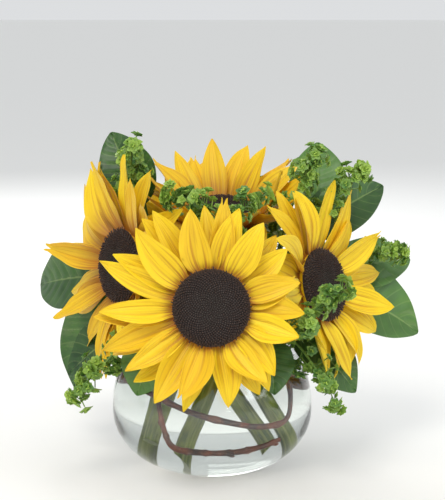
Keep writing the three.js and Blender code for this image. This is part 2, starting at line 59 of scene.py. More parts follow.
# shade: painted shade that turns petals golden, 0 for bright yellow. brown: how far out their brown
# runs.
FLOWERS = {
    "front": {
        "centre": (0, -80, 137), "turn": 0, "rise": 10, "disc": 27.5,
        "petal": 46, "lift": 16, "longest": 168, "uneven": 0.17, "seed": 11,
        "mouth": (12, -35, MOUTH_HEIGHT), "foot": (42, 12, 26), "shade": 0.12, "brown": 0.12,
    },
    "left": {
        "centre": (-68, -6, 156), "turn": -57, "rise": 5, "disc": 27.5,
        "petal": 53, "lift": 20, "longest": 170, "uneven": 0.07, "seed": 23,
        "mouth": (-16, -15, MOUTH_HEIGHT), "foot": (34, -13, 27), "shade": 0.2, "brown": 0.42,
    },
    "right": {
        "centre": (82, -15, 143), "turn": 55, "rise": 12, "disc": 27,
        "petal": 50, "lift": 20, "longest": 40, "uneven": 0.06, "seed": 37,
        "mouth": (15, -2, MOUTH_HEIGHT), "foot": (-17, -4, 22), "shade": 0.0, "brown": 0.08,
    },
    "top": {
        "centre": (7, 27, 191), "turn": 0, "rise": 72, "disc": 27,
        "petal": 51, "lift": 46, "longest": 90, "uneven": 0.05, "seed": 41,
        "mouth": (-9, 11, MOUTH_HEIGHT), "foot": (-36, -8, 29), "shade": 0.3, "brown": 0.45,
    },
    "back": {
        "centre": (-16, 82, 150), "turn": 180, "rise": 16, "disc": 27,
        "petal": 46, "lift": 16, "longest": 20, "uneven": 0.08, "seed": 59,
        "mouth": (-14, 34, MOUTH_HEIGHT), "foot": (-33, 22, 20), "shade": 0.2, "brown": 0.25,
    },
}
STEM_RADIUS = 5
PETAL = {"count": 18, "width": 19.5, "thickness": 1.2, "root": 7, "stations": 5}
PETAL_LAYERS = [
    {"depth": 4.6, "lift": -7, "share": 1},
    {"depth": 2.9, "lift": 7, "share": 0.93},
]
FILLING = {"count": 13, "depth": 5.3, "lift": -12, "share": 0.98}  # more petals, behind those two
PLATE_THICKNESS = 5.6
DISC = {"edge": 0.8, "dome": 6, "dip": 1.8}
CUP_DEPTH = 16
BRACT = {"count": 8, "length": 25, "width": 13, "thickness": 1.4, "root": 6, "stations": 3, "inset": 10}

TWIG_RADII = (2.2, 1.5)
TWIGS = {
    "willow_front": [
        (43, -10, 114), (50, -26, 86), (54, -34, 62), (50, -39, 47), (33, -54, 46), (12, -63, 51),
        (-12, -62, 57), (-36, -54, 66), (-53, -37, 71), (-64, -10, 71), (-62, 18, 60), (-46, 43, 49),
        (-25, 56, 51), (-6, 60, 57), (14, 60, 54), (34, 52, 47), (47, 40, 45),
    ],
    "willow_low": [
        (-34, -24, 112), (-40, -34, 86), (-36, -48, 60), (-32, -51, 42), (-25, -48, 31), (-6, -45, 28),
        (14, -44, 28), (31, -39, 30), (44, -29, 33),
    ],
}

THIN = {"steps": 7, "mouth_radius": 45, "foot_radius": 43, "foot_height": 76}
BEND = {"at": 0.45, "rise": 0.12}
SPRIG_RADIUS = 1.5
LEAF = {"thickness": 1.3, "stations": 6, "fold": 0.22, "arch": 0.1}
SPRIGS = {
    "left_sprig": {
        "around": 160, "tip": (-82, 58, 140),
        "leaves": [
            {"back": 2, "tip": (-154, 100, 128), "width": 50, "faces": (-0.3, -0.9, 0.3)},
            {"back": 14, "tip": (-140, 52, 62), "width": 50, "faces": (-0.5, -0.8, 0.3)},
        ],
    },
    "upper_left_sprig": {
        "around": 146, "tip": (-52, 32, 200),
        "leaves": [{"back": 2, "tip": (-78, 36, 252), "width": 44, "faces": (-0.2, -0.9, 0.2)}],
    },
    "upper_right_sprig": {
        "around": 50, "tip": (80, 42, 184),
        "leaves": [
            {"back": 2, "tip": (84, 50, 246), "width": 46, "faces": (0.1, -0.9, 0.2)},
            {"back": 14, "tip": (132, 46, 216), "width": 42, "faces": (0.2, -0.8, 0.5)},
        ],
    },
    "right_sprig": {
        "around": 22, "tip": (92, 60, 138),
        "leaves": [
            {"back": 2, "tip": (158, 80, 152), "width": 44, "faces": (0.2, -0.8, 0.6)},
            {"back": 14, "tip": (164, 54, 98), "width": 58, "faces": (0.3, -0.8, 0.5)},
        ],
    },
    "lower_right_sprig": {
        "around": -3, "tip": (62, 2, 107),
        "leaves": [{"back": 2, "tip": (104, -6, 54), "width": 42, "faces": (0.3, -0.8, 0.5)}],
    },
    "lower_left_sprig": {
        "around": 182, "tip": (-60, 18, 108),
        "leaves": [{"back": 2, "tip": (-116, 14, 54), "width": 44, "faces": (-0.3, -0.8, 0.5)}],
    },
    "rim_right_sprig": {
        "around": -60, "tip": (40, -46, 108),
        "leaves": [{"back": 2, "tip": (46, -74, 76), "width": 34, "faces": (0.3, -0.9, 0.2)}],
    },
    "rim_left_sprig": {
        "around": 236, "tip": (-40, -44, 108),
        "leaves": [{"back": 2, "tip": (-62, -64, 78), "width": 38, "faces": (-0.3, -0.9, 0.2)}],
    },
    "back_right_sprig": {
        "around": 66, "tip": (48, 62, 128),
        "leaves": [
            {"back": 2, "tip": (104, 84, 140), "width": 44, "faces": (0.3, 0.7, 0.6)},
            {"back": 14, "tip": (60, 98, 70), "width": 44, "faces": (0.2, 0.9, 0.4)},
        ],
    },
    "back_left_sprig": {
        "around": 126, "tip": (-54, 58, 126),
        "leaves": [
            {"back": 2, "tip": (-112, 78, 138), "width": 44, "faces": (-0.3, 0.7, 0.6)},
            {"back": 14, "tip": (-66, 94, 68), "width": 44, "faces": (-0.2, 0.9, 0.4)},
        ],
    },
}

SPRAY_RADIUS = 1.2
UMBEL = {"radius": 7, "stalk": 12, "thickness": 2.2, "points": 5, "count": 5}
SPREAD = {"along": 44, "widest": 62, "narrowest": 14}
FILLING_UMBELS = {"beside": 8, "along": 18, "stretch": 66, "radius": (3.4, 5.6), "stalk": (4, 12)}
SPRAYS = {
    "spray_upper_left": {"around": 172, "via": (-60, 36, 168), "tip": (-60, 2, 238), "seed": 5},
    "spray_crown_left": {"around": 250, "via": (10, -50, 190), "tip": (-24, -47, 212), "seed": 8},
    "spray_crown_right": {"around": 312, "via": (6, -56, 180), "tip": (29, -46, 208), "seed": 13},
    "spray_upper_right": {"around": 34, "tip": (72, -4, 232), "seed": 21},
    "spray_far_upper_right": {"around": 12, "tip": (106, 6, 222), "seed": 34},
    "spray_gap_right": {"around": 322, "via": (52, -62, 118), "tip": (87, -77, 147), "seed": 55},
    "spray_far_right": {"around": 38, "via": (84, 56, 150), "tip": (138, 48, 160), "seed": 89},
    "spray_low_left": {"around": 203, "via": (-60, -31, 105), "tip": (-94, -50, 74), "seed": 144},
    "spray_low_right": {"around": 333, "via": (60, -40, 105), "tip": (84, -62, 76), "seed": 233},
    "spray_back": {"around": 84, "via": (44, 60, 140), "tip": (44, 84, 200), "seed": 377},
}

# The choices that a crowded piece had, mildest first, as in the solids.
PETAL_CHOICES = [
    (0, 1), (7, 1), (-7, 1), (14, 1), (-14, 1), (0, 0.85), (22, 0.95), (-22, 0.95), (10, 0.75),
    (-10, 0.75), (32, 0.85), (-32, 0.85), (44, 0.75), (-44, 0.75), (0, 0.6), (20, 0.6), (-20, 0.6),
    (58, 0.65), (-58, 0.6), (0, 0.45), (25, 0.45), (-25, 0.45), (50, 0.45), (-50, 0.45),
]
FILLING_CHOICES = [(0, 1), (6, 1), (-8, 1), (14, 0.9), (-16, 0.95), (0, 0.8), (-26, 0.85), (20, 0.7)]
BRACT_LIFTS = [-4, -14, -26, -40, 8]
ROUTE_CHOICES = [
    (mouth, foot)
    for mouth in (0, 6, -6, 12, -12, 20, -20, 30, -30)
    for foot in (0, 12, -12, 26, -26, 40, -40)
]
LEAF_TURNS = [
    (0, 0), (9, 0), (-9, 0), (0, 10), (0, -10), (16, 8), (16, -8), (-16, 8), (-16, -8), (26, 0),
    (-26, 0),
]
LEAF_CHOICES = [(*turns, size) for size in (1, 0.85, 0.7) for turns in LEAF_TURNS]
UMBEL_CHOICES = [
    (0, 1), (40, 1), (-40, 1), (0, 0.75), (80, 0.9), (-80, 0.9), (40, 0.6), (-40, 0.6), (180, 0.8),
    (120, 0.7),
]

# ---- Small maths -------------------------------------------------------------------------------

GOLDEN_ANGLE = math.pi * (3 - math.sqrt(5))
UP = Vector((0, 0, 1))


def lerp(a, b, share):
    return a + (b - a) * share


def bump(distance, width):
    """A smooth hump, 1 at no distance and near 0 past its width."""
    return math.exp(-((distance / width) ** 2))


def turned_about(vector, axis, degrees):
    return Quaternion(axis, math.radians(degrees)) @ vector


def between(start, end, angle):
    """The direction at an angle from start, on the way to end, a quarter turn away."""
    return start * math.cos(angle) + end * math.sin(angle)


def draws_from(seed):
    """The solids' own seeded draws from 0 to 1, so that every petal gets the same shape here."""
    word = 0xFFFFFFFF
    state = seed

    def draw():
        nonlocal state
        state = (state + 0x6D2B79F5) & word
        t = ((state ^ (state >> 15)) * (state | 1)) & word
        t ^= (t + (((t ^ (t >> 7)) * (t | 61)) & word)) & word
        return (t ^ (t >> 14)) / 4294967296

    return draw


def facing(flower):
    """Forward, right and up as seen by someone who looks a head in the face."""
    turn, rise = math.radians(flower["turn"]), math.radians(flower["rise"])
    level = Vector((math.sin(turn), -math.cos(turn), 0))
    forward = between(level, UP, rise)
    right = Vector((math.cos(turn), math.sin(turn), 0))
    return forward, right, forward.cross(right)


def head_matrix(flower):
    """Moves a shape made on the Z axis to a head, its +Z becoming the way the flower faces."""
    forward, right, up = facing(flower)
    turn = Matrix((right, up, forward)).transposed().to_4x4()
    return Matrix.Translation(flower["centre"]) @ turn


class Route:
    """A smooth path through points, whose stations are spaced evenly along its length."""

    SAMPLES = 200

    def __init__(self, points):
        self.points = [Vector(p) for p in points]
        ends = [2 * self.points[0] - self.points[1], 2 * self.points[-1] - self.points[-2]]
        self.padded = [ends[0], *self.points, ends[1]]
        samples = [self.at(i / self.SAMPLES) for i in range(self.SAMPLES + 1)]
        self.lengths = [0.0]
        for here, there in zip(samples, samples[1:]):
            self.lengths.append(self.lengths[-1] + (there - here).length)
        self.length = self.lengths[-1]

    def at(self, t):
        spans = len(self.points) - 1
        span = min(int(t * spans), spans - 1)
        w = t * spans - span
        before, start, end, after = self.padded[span:span + 4]
        leave, arrive = (end - before) / 2, (after - start) / 2
        square = 3 * (end - start) - 2 * leave - arrive
        cube = 2 * (start - end) + leave + arrive
        return start + w * (leave + w * (square + w * cube))

    def station(self, share):
        """The point at a share of the path's length."""
        target = min(max(share, 0), 1) * self.length
        i = min(bisect_right(self.lengths, target), self.SAMPLES) - 1
        step = self.lengths[i + 1] - self.lengths[i]
        return self.at((i + (target - self.lengths[i]) / step) / self.SAMPLES)

    def back_from_tip(self, distance):
        """A place on the solids' faceted centre line, back from its tip, and its direction there."""
        along = (1 - distance / self.length) * THIN["steps"]
        start = self.station(math.floor(along) / THIN["steps"])
        end = self.station(math.ceil(along) / THIN["steps"])
        return start.lerp(end, along % 1), (end - start).normalized()


# ---- Reading the solids ------------------------------------------------------------------------

SAME_PLACE = 0.05  # a corner this near to a solid's corner is that corner
FEWEST_CORNERS = 3  # that a choice must share with its solid, since neighbours hide some


def corners_of(node):
    """A search tree of a solid's corners, in millimetres."""
    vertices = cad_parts[node].data.vertices
    tree = KDTree(len(vertices))
    for i, vertex in enumerate(vertices):
        tree.insert(vertex.co * 1000, i)
    tree.balance()
    return tree


def taken_choice(choices, corners, tree):
    """The choice with most of its corners on the solid, or None if the solid has no such piece."""
    scores = [sum(tree.find(p)[2] < SAME_PLACE for p in corners(choice)) for choice in choices]
    best = max(scores)
    return choices[scores.index(best)] if best >= FEWEST_CORNERS else None


def ring_corners(tree, centre, radius):
    """How many of a solid's corners lie round a centre at a stem's radius."""
    near = tree.find_range(centre, radius + SAME_PLACE)
    return sum(distance > radius - SAME_PLACE for _, _, distance in near)


def neighbours_of(*own):
    """A search tree of the faces of every solid but a few, in millimetres."""
    shape = bmesh.new()
    for node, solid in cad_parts.items():
        if node not in own:
            shape.from_mesh(solid.data)
    bmesh.ops.scale(shape, vec=(1000, 1000, 1000), verts=shape.verts)
    tree = BVHTree.FromBMesh(shape)
    shape.free()
    return tree


# ---- Making meshes -----------------------------------------------------------------------------
# along and across run over a blade from -1 or 0 to 1, and tone is a draw that tints each blade.

LAYERS = ("along", "across", "tone")


def new_shape():
    shape = bmesh.new()
    for name in LAYERS:
        shape.verts.layers.float.new(name)
    return shape


def mark(shape, verts, along, across, tone):
    """Writes the three marks on some vertices. Each is a value, or is worked out from the place."""
    for name, value in zip(LAYERS, (along, across, tone)):
        layer = shape.verts.layers.float[name]
        for vert in verts:
            vert[layer] = value(vert.co) if callable(value) else value


def add_part(shape, part):
    """Adds a small shape to a large one. Its making is quick, because it was made alone."""
    mesh = bpy.data.meshes.new("part")
    part.to_mesh(mesh)
    part.free()
    shape.from_mesh(mesh)
    bpy.data.meshes.remove(mesh)


def lay_sheet(shape, cells, place, thickness, tone):
    """A thin closed blade. place(t, across) is its point, t from its root to its tip."""
    wide, long = cells
    made = bmesh.ops.create_grid(shape, x_segments=wide, y_segments=long, size=1)["verts"]
    mark(shape, made, lambda p: (p.y + 1) / 2, lambda p: p.x, tone)
    faces = {face for vert in made for face in vert.link_faces}
    for vert in made:
        vert.co = place((vert.co.y + 1) / 2, vert.co.x)
    bmesh.ops.solidify(shape, geom=list(faces), thickness=thickness)


def lay_tube(shape, route, radius, sides, steps, tone=0.5):
    """A closed round stem. radius(share, turn) is its radius at a share of its length."""
    before = set(shape.verts)
    ring = bmesh.ops.create_circle(shape, cap_ends=True, segments=sides, radius=1)["verts"]
    end = ring[0].link_faces[0]
    bmesh.ops.spin(
        shape, geom=[*ring, *end.edges, end], cent=(0, 0, 0), axis=(0, 0, 1), dvec=(0, 0, 1), angle=0,
        steps=steps,
    )
    made = [v for v in shape.verts if v not in before]
    mark(shape, made, lambda p: p.z / steps, lambda p: math.atan2(p.y, p.x) / math.pi, tone)

    points = [route.station(k / steps) for k in range(steps + 1)]
    tangents = [(b - a).normalized() for a, b in zip([points[0], *points], [*points[1:], points[-1]])]
    side = tangents[0].orthogonal().normalized()
    frames = []
    for k, tangent in enumerate(tangents):
        if k > 0:
            side = tangents[k - 1].rotation_difference(tangent) @ side
        frames.append((side, tangent.cross(side)))
    for vert in made:
        k = round(vert.co.z)
        right, up = frames[k]
        reach = radius(k / steps, math.atan2(vert.co.y, vert.co.x))
        vert.co = points[k] + reach * (vert.co.x * right + vert.co.y * up)


def lay_turned(shape, outline, steps, matrix=Matrix()):
    """A closed solid turned on the Z axis from an outline of (radius, height) points."""
    verts = [shape.verts.new((radius, 0, height)) for radius, height in outline]
    edges = [shape.edges.new(pair) for pair in zip(verts, verts[1:])]
    before = set(shape.verts)
    bmesh.ops.spin(
        shape, geom=verts + edges, cent=(0, 0, 0), axis=(0, 0, 1), angle=2 * math.pi, steps=steps,
        use_merge=True,
    )
    made = [v for v in shape.verts if v in verts or v not in before]
    bmesh.ops.remove_doubles(shape, verts=made, dist=0.001)
    made = [v for v in made if v.is_valid]
    bmesh.ops.transform(shape, matrix=matrix, verts=made)
    return made


def add_object(name, data):
    """Puts a mesh, a light or a camera into the scene."""
    made = bpy.data.objects.new(name, data)
    bpy.context.scene.collection.objects.link(made)
    return made


def end_shape(name, shape, material):
    """Turns a shape into an object of one material."""
    mesh = bpy.data.meshes.new(name)
    shape.to_mesh(mesh)
    shape.free()
    mesh.materials.append(material)
    return add_object(name, mesh)


def finish_piece(name, shape, material, nodes, sharp_from=50):
    """Turns a shape into a piece in metres that stands for some of the solids."""
    bmesh.ops.recalc_face_normals(shape, faces=shape.faces)
    bmesh.ops.scale(shape, vec=(0.001, 0.001, 0.001), verts=shape.verts)
    piece = end_shape(name, shape, material)
    piece.data.shade_smooth()
    piece.data.set_sharp_from_angle(angle=math.radians(sharp_from))
    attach(piece, "root")
    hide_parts(*nodes)
    return piece


# ---- Materials ---------------------------------------------------------------------------------


def colour(hex_code):
    """An sRGB hex colour as linear red, green, blue and alpha."""
    channels = [int(hex_code[i:i + 2], 16) / 255 for i in (1, 3, 5)]
    return (*(c / 12.92 if c <= 0.04045 else ((c + 0.055) / 1.055) ** 2.4 for c in channels), 1)


def per_mm(size):
    """The scale of a pattern on Object coordinates, in metres, whose features are size mm."""
    return 1000 / size


def add_node(material, kind, inputs, **settings):
    """Adds a node with its settings. An input is a value, or another node's output to link."""
    tree = material.node_tree
    made = tree.nodes.new(kind)
    for name, value in settings.items():
        setattr(made, name, value)
    for key, value in inputs.items():
        if isinstance(value, bpy.types.NodeSocket):
            tree.links.new(value, made.inputs[key])
        else:
            made.inputs[key].default_value = value
    return made.outputs


def new_material(name):
    material = bpy.data.materials.new(name)
    material.use_nodes = True
    material.node_tree.nodes.clear()
    return material


def end_material(material, inputs):
    """Gives a material its shader and its output."""
    shader = add_node(material, "ShaderNodeBsdfPrincipled", inputs)["BSDF"]
    add_node(material, "ShaderNodeOutputMaterial", {"Surface": shader})
    return material


def add_place(material):
    return add_node(material, "ShaderNodeTexCoord", {})["Object"]


def add_marks(material):
    """The marks along, across and tone of a shape's vertices."""
    kind = "ShaderNodeAttribute"
    return [add_node(material, kind, {}, attribute_name=name)["Fac"] for name in LAYERS]


def add_maths(material, operation, *values, **settings):
    inputs = dict(enumerate(values))
    return add_node(material, "ShaderNodeMath", inputs, operation=operation, **settings)[0]


def add_range(material, value, start, end, low=0.0, high=1.0, smooth=False):
    """Goes from low to high as the value goes from start to end, and stays there past them."""
    inputs = {"Value": value, "From Min": start, "From Max": end, "To Min": low, "To Max": high}
    way = "SMOOTHSTEP" if smooth else "LINEAR"
    return add_node(material, "ShaderNodeMapRange", inputs, interpolation_type=way)["Result"]


def add_blend(material, share, *ends):
    """A colour between two. Each is a hex code, or another node's colour."""
    first, second = (colour(end) if isinstance(end, str) else end for end in ends)
    inputs = {0: share, 6: first, 7: second}
    return add_node(material, "ShaderNodeMix", inputs, data_type="RGBA")[2]


def add_noise(material, vector, scale, detail):
    inputs = {"Vector": vector, "Scale": scale, "Detail": detail}
    return add_node(material, "ShaderNodeTexNoise", inputs)["Fac"]


def add_veins(material, marks, stretch, scale, detail):
    """Noise on the marks, drawn out along the blade until it makes lengthwise veins."""
    lane = add_node(material, "ShaderNodeCombineXYZ", dict(zip("YXZ", marks)))["Vector"]
    drawn = add_node(material, "ShaderNodeMapping", {"Vector": lane, "Scale": stretch})["Vector"]
    return add_noise(material, drawn, scale, detail)


def add_cells(material, vector, size):
    """The distance from the middle of the nearest of many cells, size mm across."""
    inputs = {"Vector": vector, "Scale": per_mm(size)}
    return add_node(material, "ShaderNodeTexVoronoi", inputs)["Distance"]


def add_relief(material, height, strength, depth):
    """The lie of a surface that is raised by up to depth mm."""
    inputs = {"Height": height, "Strength": strength, "Distance": depth / 1000}
    return add_node(material, "ShaderNodeBump", inputs)["Normal"]


def clear_material(name, tint, ior, wave_size, wave_strength):
    """A clear, smooth material whose slow waves bend what is behind it."""
    material = new_material(name)
    waves = add_noise(material, add_place(material), per_mm(wave_size), 1)
    return end_material(material, {
        "Base Color": colour(tint), "Roughness": 0.0, "IOR": ior, "Transmission Weight": 1,
        "Normal": add_relief(material, waves, wave_strength, 2),
    })


def blown_glass():
    """Blown soda-lime glass: clear and hard, with the faint waves of blowing."""
    return clear_material("blown_soda_glass", "#fbfdfd", 1.5, 35, 0.04)


def still_water():
    """Clear water that cut stems have stood in: level, smooth, with the faintest green."""
    return clear_material("still_water", "#f9fcf7", 1.333, 25, 0.02)


def ray_petal(name, shade, brown):
    """A sunflower's ray petal: thin satin yellow tissue, painted shade in its grooves, a brown root."""
    material = new_material(name)
    along, across, tone = marks = add_marks(material)

    # Fine veins run the petal's length: about 20 of them side by side, 1 mm apart.
    veins = add_veins(material, marks, (7, 0.9, 40), 1.4, 4)
    streaks = add_range(material, veins, 0.5, 0.75)

    # Painted shade darkens the two grooves, a third of the way out on each side, fading towards the
    # tip.
    size = add_maths(material, "ABSOLUTE", across)
    apart = add_maths(material, "SUBTRACT", size, 0.36)
    close = add_maths(material, "ABSOLUTE", apart)
    groove = add_range(material, close, 0, 0.13, 1, 0, smooth=True)
    outwards = add_range(material, along, 0.3, 0.95, 0.75, 0.1)
    painted_groove_shade = add_maths(material, "MULTIPLY", groove, outwards)
    veins_and_groove_shade = add_maths(material, "ADD", painted_groove_shade, streaks, use_clamp=True)

    # Painted shade: a head that stands in shade gets golden petals, on top of each petal's own random
    # tone.
    tone_and_painted_shade = add_range(material, tone, 0, 1, shade - 0.15, shade + 0.35)
    yellow = add_blend(material, tone_and_painted_shade, "#f9d416", "#dda321")
    # The dark golden brown marks the real veins and the painted shade of the grooves alike.
    vein_and_shade_share = add_maths(material, "MULTIPLY", veins_and_groove_shade, 0.75)
    veined_and_shaded = add_blend(material, vein_and_shade_share, yellow, "#bd8010")

    # The brown of the root runs out farther in some veins than in others.
    wander = add_maths(material, "MULTIPLY", veins, 0.35)
    reach = add_maths(material, "SUBTRACT", along, wander)
    root = add_range(material, reach, -0.1, brown, 1, 0, smooth=True)
    return end_material(material, {
        "Base Color": add_blend(material, root, veined_and_shaded, "#a8661c"), "Roughness": 0.5, "IOR": 1.4,
        "Subsurface Weight": 0.15, "Subsurface Radius": (0.004, 0.002, 0.0005),
        "Subsurface Scale": 0.5, "Sheen Weight": 0.1,
        "Normal": add_relief(material, veins, 0.35, 0.6),
    })


def disc_florets():
    """The disc's packed florets: dull dark brown, olive where the middle ones are still closed."""
    material = new_material("disc_florets")
    along, across, tone = add_marks(material)
    middle = add_range(material, across, 0.2, 0.6, 1, 0, smooth=True)
    tips = add_blend(material, middle, "#3c251b", "#393420")
    ripe = add_blend(material, tone, tips, "#4f3220")
    # Painted shade: each floret darkens to near black at its foot, deep among its neighbours.
    painted_shade_to_tip = add_maths(material, "POWER", along, 2)
    return end_material(material, {
        "Base Color": add_blend(material, painted_shade_to_tip, "#20130e", ripe), "Roughness": 0.8,
        "Sheen Weight": 0.15,
    })


def hairy_stem():
    """A sunflower's stem and bracts: matt green, ribbed lengthwise, dulled by fine pale hairs."""
    material = new_material("hairy_green_stem")
    along, across, _ = add_marks(material)
    ribs = add_veins(material, (along, across), (9, 3, 1), 1, 3)
    blotches = add_noise(material, add_place(material), per_mm(14), 3)
    tint = add_range(material, blotches, 0.35, 0.7)
    green = add_blend(material, tint, "#3f5c14", "#93a030")
    rib_share = add_range(material, ribs, 0.48, 0.66, 0, 0.7)
    return end_material(material, {
        "Base Color": add_blend(material, rib_share, green, "#b4bb6c"), "Roughness": 0.6,
        "Sheen Weight": 0.3, "Sheen Roughness": 0.4, "Normal": add_relief(material, ribs, 0.8, 0.8),
    })


def willow_bark():
    """Curly willow's young bark: smooth, red-brown, with dark clouds and pale specks."""
    material = new_material("willow_bark")
    place = add_place(material)
    cloud = add_noise(material, place, per_mm(12), 4)
    tint = add_range(material, cloud, 0.35, 0.65)
    bark = add_blend(material, tint, "#36150a", "#8c4018")
    speck = add_range(material, add_cells(material, place, 2.2), 0.1, 0.25, 0.5, 0)
    return end_material(material, {
        "Base Color": add_blend(material, speck, bark, "#c48a5c"), "Roughness": 0.42,
        "Normal": add_relief(material, cloud, 0.3, 0.5),
    })


# Light goes a little way into green tissue, least of all the blue.
GREEN_TISSUE = {"Subsurface Radius": (0.001, 0.002, 0.0005), "Subsurface Scale": 0.5}


def leathery_leaf():
    """A broad evergreen leaf: leathery and waxy, so it shines softly, with paler ribs."""
    material = new_material("leathery_leaf")
    place = add_place(material)
    along, across, tone = add_marks(material)
    size = add_maths(material, "ABSOLUTE", across)

    # Side ribs leave the midrib at even steps of the leaf's length and slant towards its tip.
    slant = add_maths(material, "MULTIPLY", size, RIB_SLANT)
    level = add_maths(material, "SUBTRACT", along, slant)
    turns = add_maths(material, "MULTIPLY", level, 2 * math.pi * SIDE_RIBS)
    wave = add_maths(material, "COSINE", turns)
    side_ribs = add_range(material, wave, 0.9, 1, 0, 0.16)
    midrib = add_range(material, size, 0.01, 0.05, 0.45, 0)
    ribs = add_maths(material, "MAXIMUM", side_ribs, midrib)

    mottle = add_noise(material, place, per_mm(16), 4)
    mixed = add_maths(material, "ADD", mottle, tone)
    green = add_blend(material, add_range(material, mixed, 0.4, 1.5), "#22401f", "#527a38")
    return end_material(material, {
        "Base Color": add_blend(material, ribs, green, "#93a866"), "Roughness": 0.42, "IOR": 1.45,
        "Subsurface Weight": 0.08, **GREEN_TISSUE,
        "Normal": add_relief(material, add_cells(material, place, 2.5), 0.15, 0.4),
    })


def waxy_bracts():
    """Thoroughwax: smooth yellow-green bracts with a waxy bloom, yellower in the florets."""
    material = new_material("waxy_bracts")
    marks = add_marks(material)
    veins = add_veins(material, marks, (5, 1, 30), 1.2, 2)
    mixed = add_maths(material, "ADD", veins, marks[2])
    tint = add_range(material, mixed, 0.4, 1.5)
    return end_material(material, {
        "Base Color": add_blend(material, tint, "#326a30", "#a3c24c"), "Roughness": 0.45,
        "Subsurface Weight": 0.1, **GREEN_TISSUE, "Normal": add_relief(material, veins, 0.2, 0.4),
    })


def matt_floor():
    """The studio's floor: pale, matt and even, so that it shows no more than a soft shadow."""
    material = new_material("matt_floor")
    return end_material(material, {"Base Color": colour("#f4f4f2"), "Roughness": 0.9})


# ---- Bowl and water ----------------------------------------------------------------------------


def bowl_radius(z):
    reach = BOWL["lower_reach"] if z < BOWL["widest_height"] else BOWL["upper_reach"]
    away = abs(z - BOWL["widest_height"]) / reach
    return BOWL["radius"] * (1 - away ** BOWL["fullness"]) ** (1 / BOWL["fullness"])


def wall_heights(low, high, step=2.5):
    count = round((high - low) / step)
    return [lerp(low, high, i / count) for i in range(count + 1)]


def inside_curve(high, inset):
    """The inside of the glass from its floor up, rounded where floor and wall meet."""
    curve = []
    for z in wall_heights(BOWL["floor"] + 0.4, high):
        rise = (z - BOWL["floor"]) / (BOWL["widest_height"] - BOWL["floor"])
        round_floor = math.sqrt(max(0, 1 - (1 - rise) ** 2)) if rise < 1 else 1
        widest = (BOWL["radius"] - BOWL["wall"]) * round_floor
        curve.append((min(widest, bowl_radius(z) - BOWL["wall"]) - inset, z))
    return curve


def make_clear(name, outline, material, node):
    """A clear turned piece, which lets the light through instead of casting a shadow."""
    shape = new_shape()
    lay_turned(shape, outline, 96)
    piece = finish_piece(name, shape, material, [node], sharp_from=80)
    piece.visible_shadow = False


def make_bowl(material):
    """The bowl, blown in one wall, with a slightly hollow foot and a rounded lip."""
    top = BOWL["height"]
    lip_radius = bowl_radius(top - 3) - BOWL["wall"] / 2
    foot = [(0, 1.5), (16, 1.2), (20, 0), (25, 0)]
    outside = [(bowl_radius(z), z) for z in wall_heights(1, top - 2.5)]
    lip = [(lip_radius + 1.1, top - 0.5), (lip_radius, top), (lip_radius - 1.1, top - 0.5)]
    inside = inside_curve(top - 2.5, 0)[::-1]
    outline = [*foot, *outside, *lip, *inside, (0, BOWL["floor"])]
    make_clear("glass_bowl", outline, material, "bowl")


def make_water(material):
    """The water overlaps the glass by a hair, so that no film of air shows between them."""
    overlap = 0.2
    side = inside_curve(WATER_LEVEL, -overlap)
    edge = side[-1][0]
    creep = [(edge, WATER_LEVEL + 1), (edge - 1.2, WATER_LEVEL + 0.35), (edge - 3, WATER_LEVEL)]
    outline = [(0, BOWL["floor"] - overlap), *side, *creep, (0, WATER_LEVEL)]
    make_clear("water_in_bowl", outline, material, "water")


# ---- Sunflowers --------------------------------------------------------------------------------


def disc_height(share):
    dome = DISC["dome"] * max(0, 1 - share ** 4) ** 0.6
    return DISC["edge"] + dome - DISC["dip"] * (1 - share) ** 2


def petal_outline(t, reach=0.9):
    """A petal's width at t as a share of its widest, which a smaller reach moves inwards."""
    return math.sin(math.pi * t ** reach) ** 0.75 if 0 < t < 1 else 0


def draw_blade(draw):
    names = ("azimuth", "length", "width", "lift", "curl", "sway", "twist", "fold")
    return {name: draw() * 2 - 1 for name in names}


def head_blade(flower, blade):
    """The petal's or bract's middle at t: its point, the direction across it, and its normal."""
    forward, right, up = facing(flower)
    outwards = between(right, up, blade["azimuth"])
    sideways = forward.cross(outwards)
    whole = blade["root"] + blade["length"]
    start = Vector(flower["centre"]) - blade["depth"] * forward

    def middle(t):
        run = max(0, t * whole - blade["root"]) / blade["length"]
        level = min(t * whole, blade["root"])
        slope = blade["lift"] + blade["curl"] * run / 2
        angle = blade["lift"] + blade["curl"] * run if run > 0 else 0
        along = between(outwards, forward, angle)
        along = (along + 2 * blade["sway"] * run * sideways).normalized()
        normal = between(forward, -outwards, angle)
        normal = Quaternion(along, blade["twist"] * run) @ normal
        point = start + outwards * (blade["start"] + level + blade["length"] * run * math.cos(slope))
        point += forward * (blade["length"] * run * math.sin(slope))
        point += sideways * (blade["sway"] * blade["length"] * run * run)
        return point, normal.cross(along), normal

    return middle


def section_corners(point, across, normal, half, blade):
    """The corners of a solid blade's section: two on its middle line and one at each edge."""
    faces = [point + normal * face * blade["thickness"] / 2 for face in (-1, 1)]
    edges = [point + across * side * half + normal * blade["fold"] * half for side in (-1, 1)]
    return faces + edges


def blade_corners(middle, blade):
    """The corners that the solid's blade has outside its root, and its tip."""
    corners = [middle(1)[0]]
    for k in range(2, blade["stations"]):
        t = k / blade["stations"]
        half = blade["width"] / 2 * petal_outline(t)
        corners += section_corners(*middle(t), half, blade)
    return corners


